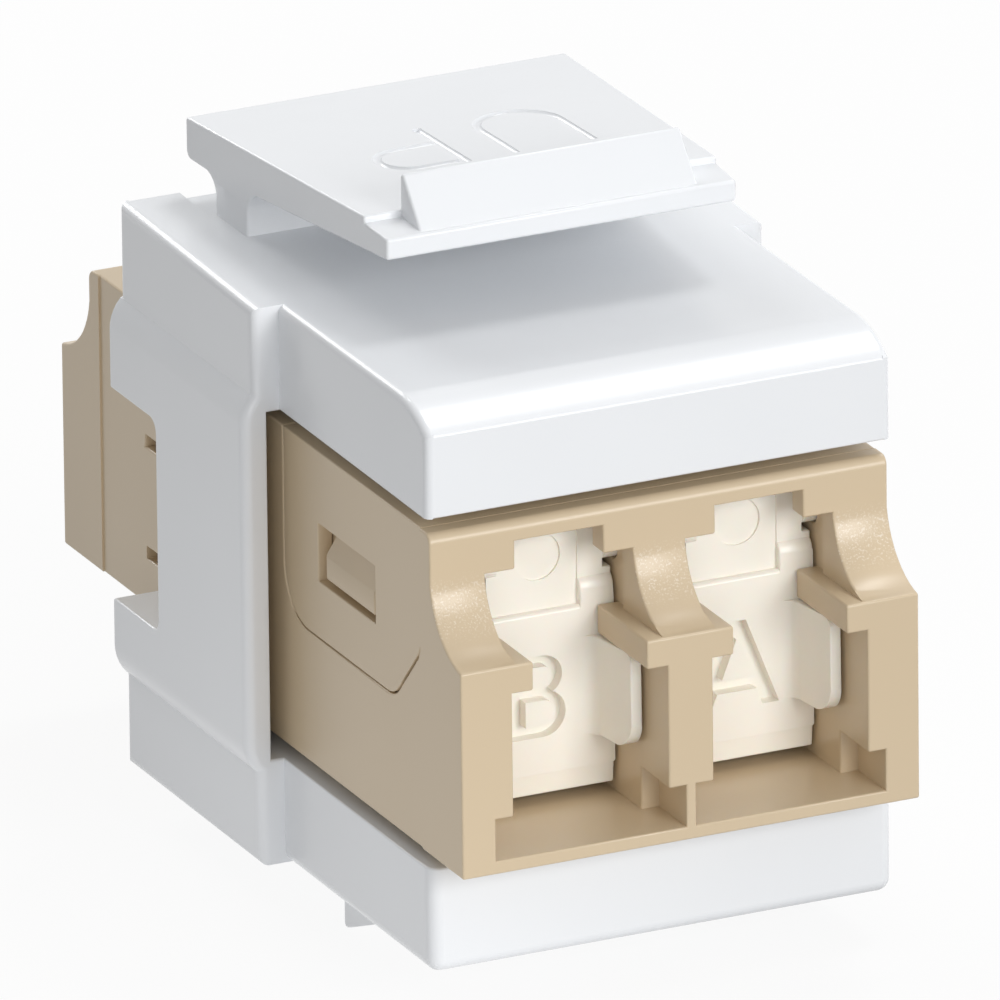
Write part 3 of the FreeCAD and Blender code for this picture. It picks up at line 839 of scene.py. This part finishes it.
def through_camera(tree):
    """Factor that is one for rays that show the background."""
    path = tree.nodes.new("ShaderNodeLightPath")
    total = path.outputs["Is Camera Ray"]
    for kind in ("Is Glossy Ray", "Is Transmission Ray"):
        node = tree.nodes.new("ShaderNodeMath")
        node.operation = "MAXIMUM"
        tree.links.new(total, node.inputs[0])
        tree.links.new(path.outputs[kind], node.inputs[1])
        total = node.outputs["Value"]
    return total


def shown_as_white(tree, seen, light):
    """Strength that is one where the background is seen, and the given light elsewhere."""
    strength = node_of(tree, "ShaderNodeMapRange", To_Max=1.0)
    tree.links.new(seen, strength.inputs["Value"])
    tree.links.new(light, strength.inputs["To Min"])
    return strength.outputs["Result"]


def white_paper():
    material = bpy.data.materials.new("white_paper")
    material.use_nodes = True
    tree = material.node_tree
    tree.nodes.clear()
    seen = through_camera(tree)
    matt = node_of(tree, "ShaderNodeBsdfDiffuse", Color=PAPER)
    coords = tree.nodes.new("ShaderNodeTexCoord").outputs["Object"]
    # Painted pool of light: where the background is not seen, the paper glows, brightest near the object's
    # left
    pool = node_of(tree, "ShaderNodeMapRange", From_Min=POOL_INNER * MM, From_Max=POOL_OUTER * MM,
                   To_Min=POOL_BRIGHT, To_Max=POOL_DIM)
    tree.links.new(distance_from(tree, coords, POOL_PLACE), pool.inputs["Value"])
    glow = node_of(tree, "ShaderNodeEmission", Color=PURE_WHITE)
    tree.links.new(shown_as_white(tree, seen, pool.outputs["Result"]), glow.inputs["Strength"])
    share = node_of(tree, "ShaderNodeMapRange", To_Min=1.0, To_Max=SHADOWLESS)
    tree.links.new(seen, share.inputs["Value"])
    surface = node_of(tree, "ShaderNodeMixShader")
    tree.links.new(share.outputs["Result"], surface.inputs["Fac"])
    tree.links.new(matt.outputs["BSDF"], surface.inputs[1])
    tree.links.new(glow.outputs["Emission"], surface.inputs[2])
    tree.links.new(surface.outputs["Shader"], tree.nodes.new("ShaderNodeOutputMaterial").inputs["Surface"])
    return material


def paper_floor():
    bm = bmesh.new()
    bmesh.ops.create_grid(bm, x_segments=1, y_segments=1, size=FLOOR_HALF)
    bmesh.ops.translate(bm, verts=bm.verts, vec=(0, 0, FLOOR_Z))
    mesh = bpy.data.meshes.new("floor")
    bm.to_mesh(mesh)
    bm.free()
    mesh.materials.append(white_paper())
    floor = bpy.data.objects.new("floor", mesh)
    bpy.context.scene.collection.objects.link(floor)


def studio_world():
    world = bpy.data.worlds.new("studio")
    bpy.context.scene.world = world
    world.use_nodes = True
    tree = world.node_tree
    heading = tree.nodes.new("ShaderNodeVectorMath")
    heading.operation = "DOT_PRODUCT"
    heading.inputs[1].default_value = SKY_HEADING
    tree.links.new(tree.nodes.new("ShaderNodeTexCoord").outputs["Generated"], heading.inputs[0])
    sky = node_of(tree, "ShaderNodeMapRange", From_Min=-1.0, From_Max=1.0, To_Min=0.0, To_Max=SKY_LIGHT)
    tree.links.new(heading.outputs["Value"], sky.inputs["Value"])
    background = tree.nodes["Background"]
    background.inputs["Color"].default_value = PURE_WHITE
    strength = shown_as_white(tree, through_camera(tree), sky.outputs["Result"])
    tree.links.new(strength, background.inputs["Strength"])


def softbox(name, place, size, power):
    lamp = bpy.data.lights.new(name, "AREA")
    lamp.size = size
    lamp.energy = power
    box = bpy.data.objects.new(name, lamp)
    box.location = place
    aim = MIDDLE - Vector(place)
    box.rotation_euler = aim.to_track_quat("-Z", "Y").to_euler()
    bpy.context.scene.collection.objects.link(box)


AZIMUTH = math.radians(-24.986)
ELEVATION = math.radians(20.717)
ROLL = math.radians(-0.622)
AIM_LEFT = 1.140
AIM_UP = 1.344
CAMERA_DISTANCE = 862.3
SENSOR_WIDTH = 36
FOCAL_LENGTH = 1091


def product_camera():
    back = Vector((math.sin(AZIMUTH) * math.cos(ELEVATION), -math.cos(AZIMUTH) * math.cos(ELEVATION),
                   math.sin(ELEVATION)))
    level = Vector((math.cos(AZIMUTH), math.sin(AZIMUTH), 0))
    upright = back.cross(level)
    right = math.cos(ROLL) * level + math.sin(ROLL) * upright
    up = math.cos(ROLL) * upright - math.sin(ROLL) * level
    aim = MIDDLE - right * AIM_LEFT * MM + up * AIM_UP * MM
    lens = bpy.data.cameras.new("camera")
    lens.sensor_width = SENSOR_WIDTH
    lens.lens = FOCAL_LENGTH
    camera = bpy.data.objects.new("camera", lens)
    turn = Matrix((right, up, back)).transposed().to_4x4()
    camera.matrix_world = Matrix.Translation(aim + back * CAMERA_DISTANCE * MM) @ turn
    bpy.context.scene.collection.objects.link(camera)
    bpy.context.scene.camera = camera


paper_floor()
studio_world()
softbox("key_softbox", place=(0.16, -0.62, 0.21), size=0.30, power=2.45)
softbox("top_softbox", place=(0.245, 0.136, 0.55), size=0.16, power=0.70)
softbox("back_softbox", place=(-0.06, 0.51, 0.32), size=0.22, power=0.9)
softbox("fill_softbox", place=(-0.30, -0.55, 0.12), size=0.30, power=0.75)
product_camera()
bpy.context.scene.view_settings.view_transform = "Standard"
